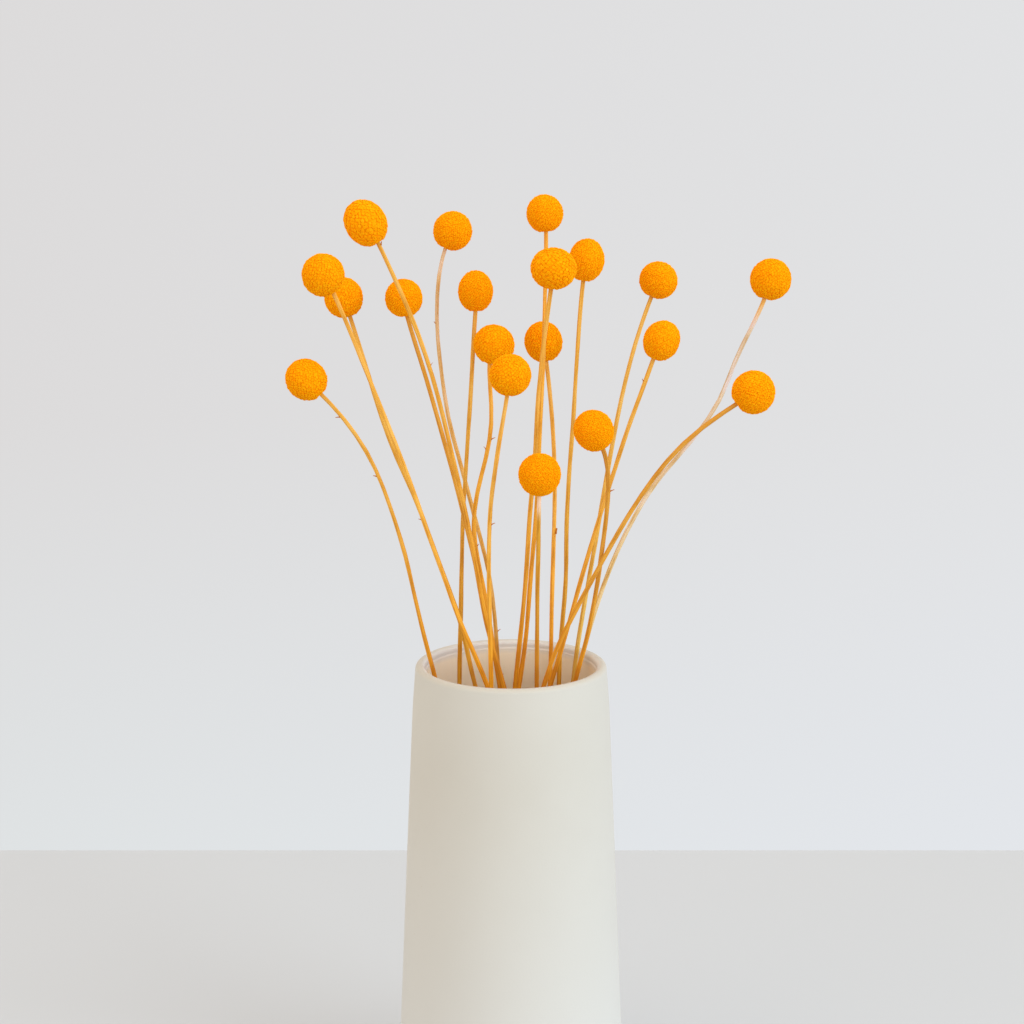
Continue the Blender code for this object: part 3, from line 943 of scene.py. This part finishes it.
@dataclass
class FloretBall:
    """A pattern for flower heads: a ball of small florets on a core, one unit in radius."""

    variant: int
    florets: int
    sides: int = 5
    core_radius: float = 0.966
    flat_share: float = 0.93
    base_share: float = 0.80
    mouth_share: float = 1.12
    rim_share: float = 0.66
    shoulder_rise: float = 0.054
    rim_rise: float = 0.072
    throat_drop: float = 0.008
    bare_cone: float = 0.985
    unevenness: float = 0.012
    stray: float = 0.55
    lean: float = 0.06
    sizes: tuple = (0.86, 1.10)
    depths: tuple = (-0.014, 0.008)
    throat_reach: float = 0.2
    throat_tone: float = 0.7
    core_cuts: int = 4
    spacing: float = field(init=False)

    def __post_init__(self) -> None:
        """Works out half the distance between neighbouring florets."""
        self.spacing = math.sqrt(math.tau / math.sqrt(3.0) / self.florets)

    def build_floret(self) -> bpy.types.Mesh:
        """Models one floret: a flared tube that closes to a small sunk throat.

        Returns:
            The floret's mesh, standing on the origin along Z.
        """
        deselect()
        base = self.base_share * self.spacing
        middle = (0, 0, self.shoulder_rise / 2)
        bpy.ops.mesh.primitive_cylinder_add(
            vertices=self.sides, radius=base, depth=self.shoulder_rise, location=middle
        )
        floret = bpy.context.object
        bpy.ops.object.mode_set(mode="EDIT")
        bpy.ops.mesh.select_all(action="DESELECT")
        bpy.ops.object.mode_set(mode="OBJECT")
        for face in floret.data.polygons:
            face.select = face.normal.z > 0.9
        bpy.ops.object.mode_set(mode="EDIT")
        flare = self.mouth_share / self.base_share
        bpy.ops.transform.resize(value=(flare, flare, 1.0))
        rise = self.rim_rise - self.shoulder_rise
        bpy.ops.mesh.extrude_region_move(TRANSFORM_OT_translate={"value": (0, 0, rise)})
        close = self.rim_share / self.mouth_share
        bpy.ops.transform.resize(value=(close, close, 1.0))
        bpy.ops.mesh.poke(offset=-self.throat_drop)
        bpy.ops.object.mode_set(mode="OBJECT")
        bpy.ops.object.transform_apply(location=True, rotation=True, scale=True)
        mesh = floret.data.copy()
        bpy.data.objects.remove(floret)
        return mesh

    def directions(self) -> np.ndarray:
        """Spreads directions over the ball on the spirals in which florets grow, a little astray.

        Returns:
            One unit vector for each floret.
        """
        draw = np.random.default_rng(SEED + self.variant)
        index = np.arange(self.florets)
        z = 1.0 - 2.0 * (index + 0.5) / self.florets
        ring = np.sqrt(1.0 - z * z)
        angle = math.pi * (3.0 - math.sqrt(5.0)) * index + self.variant
        ways = np.column_stack([ring * np.cos(angle), ring * np.sin(angle), z])
        ways += draw.uniform(-1.0, 1.0, ways.shape) * self.stray * self.spacing
        ways /= np.linalg.norm(ways, axis=1)[:, None]
        return ways[ways[:, 2] > -self.bare_cone]

    def build(self) -> bpy.types.Mesh:
        """Seats the florets on the core.

        Returns:
            The ball's mesh.
        """
        draw = np.random.default_rng(SEED * 10 + self.variant)
        floret = self.build_floret()
        floret.calc_loop_triangles()
        own = mesh_points(floret)
        faces = np.array([triangle.vertices[:] for triangle in floret.loop_triangles])
        ways = self.directions()
        count = len(ways)
        lean = ways + draw.normal(0.0, self.lean, ways.shape)
        lean /= np.linalg.norm(lean, axis=1)[:, None]
        side = np.cross(lean, draw.normal(0.0, 1.0, ways.shape))
        side /= np.linalg.norm(side, axis=1)[:, None]
        cross = np.cross(lean, side)
        size = draw.uniform(*self.sizes, count)
        reach = self.surface(ways) - self.rim_rise + draw.uniform(*self.depths, count)
        seats = ways * reach[:, None]
        grown = own[None, :, :] * size[:, None, None]
        points = (
            seats[:, None, :]
            + grown[:, :, 0:1] * side[:, None, :]
            + grown[:, :, 1:2] * cross[:, None, :]
            + grown[:, :, 2:3] * lean[:, None, :]
        )
        shade = np.repeat(draw.uniform(0.0, 1.0, count), len(own))
        # The rise sets each point's painted shade or light in the florets' finish; the sunk throats
        # get a set middle value.
        rise = own[:, 2] / self.rim_rise
        throat = np.hypot(own[:, 0], own[:, 1]) < self.throat_reach * self.spacing
        rise = np.tile(np.where(throat, self.throat_tone, rise), count)
        corners = (faces[None] + np.arange(count)[:, None, None] * len(own)).reshape(-1, 3)
        core_points, core_faces = self.build_core()
        every_point = np.vstack([points.reshape(-1, 3), core_points])
        every_face = np.vstack([corners, core_faces + count * len(own)])
        mesh = bpy.data.meshes.new(f"floret_ball_{self.variant}")
        mesh.from_pydata(every_point, [], every_face)
        set_attribute(mesh, "rise", "FLOAT", np.append(rise, np.zeros(len(core_points))))
        set_attribute(mesh, "shade", "FLOAT", np.append(shade, np.zeros(len(core_points))))
        bpy.data.meshes.remove(floret)
        return mesh

    def surface(self, ways: np.ndarray) -> np.ndarray:
        """Finds how far the ball's surface lies from its centre: a little lumpy, and flat below.

        Args:
            ways: unit vectors.

        Returns:
            The distance along each of them.
        """
        x, y, z = ways.T
        turn = 2.0 * self.variant
        lumps = np.sin(3.0 * x + turn) * np.cos(2.5 * y - turn) + np.sin(4.0 * z + 1.5 * x + turn)
        reach = 1.0 + self.unevenness * (0.5 * lumps - 0.5)
        flat = np.where(z < 0.0, self.flat_share / np.maximum(-z, 0.01), np.inf)
        return np.minimum(reach, flat)

    def build_core(self) -> tuple:
        """Builds the closed core that shows between the florets.

        Returns:
            The core's points and its triangles.
        """
        bpy.ops.mesh.primitive_ico_sphere_add(subdivisions=self.core_cuts, radius=1.0)
        core = bpy.context.object
        core.data.calc_loop_triangles()
        faces = np.array([triangle.vertices[:] for triangle in core.data.loop_triangles])
        ways = mesh_points(core.data)
        ways /= np.linalg.norm(ways, axis=1)[:, None]
        bpy.data.objects.remove(core)
        return ways * (self.surface(ways) * self.core_radius)[:, None], faces


@dataclass
class FlowerHead:
    """One flower head, a copy of a floret ball set on the end of its stalk."""

    number: int
    place: HeadFrame
    skin: float = 0.985
    spin: float = 1.7

    def build(self, ball: bpy.types.Mesh) -> bpy.types.Object:
        """Copies the ball and shapes it to the solid head.

        Args:
            ball: the pattern to copy.

        Returns:
            The head's object.
        """
        mesh = ball.copy()
        head = bpy.data.objects.new(f"floret_head_{self.number:02d}", mesh)
        mesh.name = head.name
        bpy.context.scene.collection.objects.link(head)
        across = self.place.across * self.skin
        along = self.place.along * self.skin
        turn = Vector(self.place.axis).to_track_quat("Z", "Y").to_matrix().to_4x4()
        spin = Matrix.Rotation(self.number * self.spin, 4, "Z")
        size = Matrix.Diagonal((across, across, along, 1.0))
        mesh.transform(Matrix.Translation(Vector(self.place.centre)) @ turn @ size @ spin)
        return head

    def dress(self, head: bpy.types.Object, material: bpy.types.Material) -> None:
        """Colours the head and puts it in its solid's place.

        Args:
            head: the head's object.
            material: its finish.
        """
        head.data.materials.append(material)
        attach(head, "root")
        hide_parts(f"flower_head_{self.number:02d}")
        log.info("%s: %d faces", head.name, len(head.data.polygons))


@dataclass
class Bunch:
    """The nineteen stalks with their heads."""

    count: int = 19
    florets: tuple = (600, 860, 1150, 1700)
    ball_of_head: tuple = (0, 1, 1, 2, 2, 2, 1, 1, 1, 2, 0, 2, 1, 3, 3, 2, 1, 1, 2)
    tones: dict = field(default_factory=lambda: {
        2: StalkTone.HONEY,
        3: StalkTone.OLIVE,
        4: StalkTone.TAN,
        5: StalkTone.ROSY,
        6: StalkTone.OLIVE,
        7: StalkTone.RUSSET,
        8: StalkTone.HONEY,
        10: StalkTone.RUSSET,
        12: StalkTone.OLIVE,
        13: StalkTone.HONEY,
        14: StalkTone.PEACH,
        15: StalkTone.TAN,
        16: StalkTone.STRAW,
        18: StalkTone.GREYED,
        19: StalkTone.TAN,
    })
    scraps: dict = field(default_factory=lambda: {
        1: ((465, 0, 2.0, 0.5), (407, 0, 1.5, 0.9)),
        2: ((329, 180, 1.5, 0.8),),
        5: ((421.5, 180, 1.4, 0.5), (262.5, 0, 1.8, 0.9), (238.5, 0, 2.6, 0.5)),
        7: ((366.5, 0, 2.0, 0.9), (360.5, 180, 1.6, 0.8), (309, 0, 1.5, 0.7)),
        8: ((330, 0, 1.7, 1.0),),
        9: ((382.5, 180, 2.0, 0.9), (350.5, 180, 1.7, 0.8)),
        13: ((313, 0, 3.2, 0.15),),
        15: ((345, 0, 1.8, 1.1),),
        17: ((396, 180, 1.6, 0.7),),
    })

    def build(self) -> None:
        """Builds and dresses every stalk and head."""
        materials = {tone: StalkFinish(tone).material() for tone in StalkTone}
        balls = [FloretBall(variant, count).build() for variant, count in enumerate(self.florets)]
        golden = FloretFinish().material()
        for number in range(1, self.count + 1):
            tone = self.tones.get(number, StalkTone.AMBER)
            scraps = tuple(LeafScrap(*row) for row in self.scraps.get(number, ()))
            maker = Stalk(number, tone, scraps)
            stalk, place = maker.build()
            maker.dress(stalk, materials[tone])
            flower = FlowerHead(number, place)
            flower.dress(flower.build(balls[self.ball_of_head[number - 1]]), golden)
        for ball in balls:
            bpy.data.meshes.remove(ball)


@dataclass
class Studio:
    """The pale table, the soft lamps and the camera."""

    camera_place: tuple = (0.0005, -0.9965, 0.531)
    camera_pitch: float = 11.43
    lens: float = 70.3125
    sensor: float = 36.0
    table_back: float = 0.385
    table_front: float = -1.0
    table_half_width: float = 1.3
    table_drop: float = 0.2 * MM
    wall_high: tuple = ((0.716, 0.703, 0.703), (0.762, 0.768, 0.780))
    wall_low: tuple = ((0.738, 0.765, 0.772), (0.775, 0.799, 0.838))
    wall_spread: float = 0.3
    wall_top: float = -0.15
    wall_foot: float = -0.36
    light_left: tuple = (0.97, 0.89, 0.79)
    light_right: tuple = (0.90, 0.90, 0.91)
    light_spread: float = 0.7
    lamps: dict = field(default_factory=lambda: {
        LampRole.KEY: ((3.0, -2.05, 1.75), 2.5, 69.0, (0.82, 0.94, 1.0)),
        LampRole.FILL: ((-1.3, -1.0, 0.9), 1.2, 3.0, (1.0, 0.90, 0.72)),
        LampRole.TOP: ((0.1, -0.2, 1.9), 1.2, 6.5, (1.0, 1.0, 1.0)),
    })
    aim: tuple = (0.0, 0.0, 0.28)

    def build_table(self) -> None:
        """Lays the table, which ends behind the vase where the wall begins."""
        deselect()
        bpy.ops.mesh.primitive_plane_add(size=1.0)
        table = bpy.context.object
        table.name = "table"
        depth = self.table_back - self.table_front
        middle = (self.table_back + self.table_front) / 2
        place = Matrix.Translation((0, middle, -self.table_drop))
        table.data.transform(place @ Matrix.Diagonal((2 * self.table_half_width, depth, 1, 1)))
        table.data.materials.append(FloorFinish().material())

    def build_wall_glow(self) -> None:
        """Makes the room a pale glow, with one colour to be seen and another to light with; the
        seen colour holds painted light.
        """
        world = bpy.data.worlds.new("pale_room")
        bpy.context.scene.world = world
        world.use_nodes = True
        bench, nodes = NodeBench(world), world.node_tree.nodes
        way = bench.add("ShaderNodeTexCoord").outputs["Generated"]
        axes = bench.add_at(way, "ShaderNodeSeparateXYZ").outputs
        # Painted light on the backdrop: lighter and cooler towards the right, and lighter low down
        # than high up.
        across = bench.span(axes["X"], -self.wall_spread, self.wall_spread)
        rise = bench.span(axes["Z"], self.wall_foot, self.wall_top)
        low, high = bench.mix(across, *self.wall_low), bench.mix(across, *self.wall_high)
        bench.wire(bench.mix(rise, low, high), nodes["Background"].inputs["Color"])
        lit = bench.add("ShaderNodeBackground")
        side = bench.span(axes["X"], -self.light_spread, self.light_spread)
        bench.wire(bench.mix(side, self.light_left, self.light_right), lit.inputs["Color"])
        ray = bench.add("ShaderNodeLightPath")
        both = bench.add("ShaderNodeMixShader")
        bench.wire(ray.outputs["Is Camera Ray"], both.inputs[0])
        bench.wire(lit.outputs[0], both.inputs[1])
        bench.wire(nodes["Background"].outputs[0], both.inputs[2])
        bench.wire(both.outputs[0], nodes["World Output"].inputs["Surface"])

    def hang_lamps(self) -> None:
        """Hangs the soft square lamps, each turned to the bunch."""
        for role, (place, size, power, colour) in self.lamps.items():
            bpy.ops.object.light_add(type="AREA", location=place)
            lamp = bpy.context.object
            lamp.name = f"lamp_{role.value}"
            lamp.data.size = size
            lamp.data.energy = power
            lamp.data.color = colour
            way = Vector(self.aim) - Vector(place)
            lamp.rotation_euler = way.to_track_quat("-Z", "Y").to_euler()

    def set_camera(self) -> None:
        """Sets the camera at the photograph's height, distance and pitch."""
        pitch = math.radians(90.0 - self.camera_pitch)
        bpy.ops.object.camera_add(location=self.camera_place, rotation=(pitch, 0, 0))
        camera = bpy.context.object
        camera.data.lens = self.lens
        camera.data.sensor_width = self.sensor
        bpy.context.scene.camera = camera
        bpy.context.scene.view_settings.view_transform = "Standard"

    def build(self) -> None:
        """Sets up the whole studio."""
        self.build_table()
        self.build_wall_glow()
        self.hang_lamps()
        self.set_camera()


def main() -> None:
    """Builds every piece in order."""
    logging.basicConfig(level=logging.INFO, format="%(message)s")
    maker = Vase()
    maker.dress(maker.build(), StonewareFinish(maker.height))
    Bunch().build()
    Studio().build()
    deselect()
    bpy.context.view_layer.update()


if __name__ == "__main__":
    main()
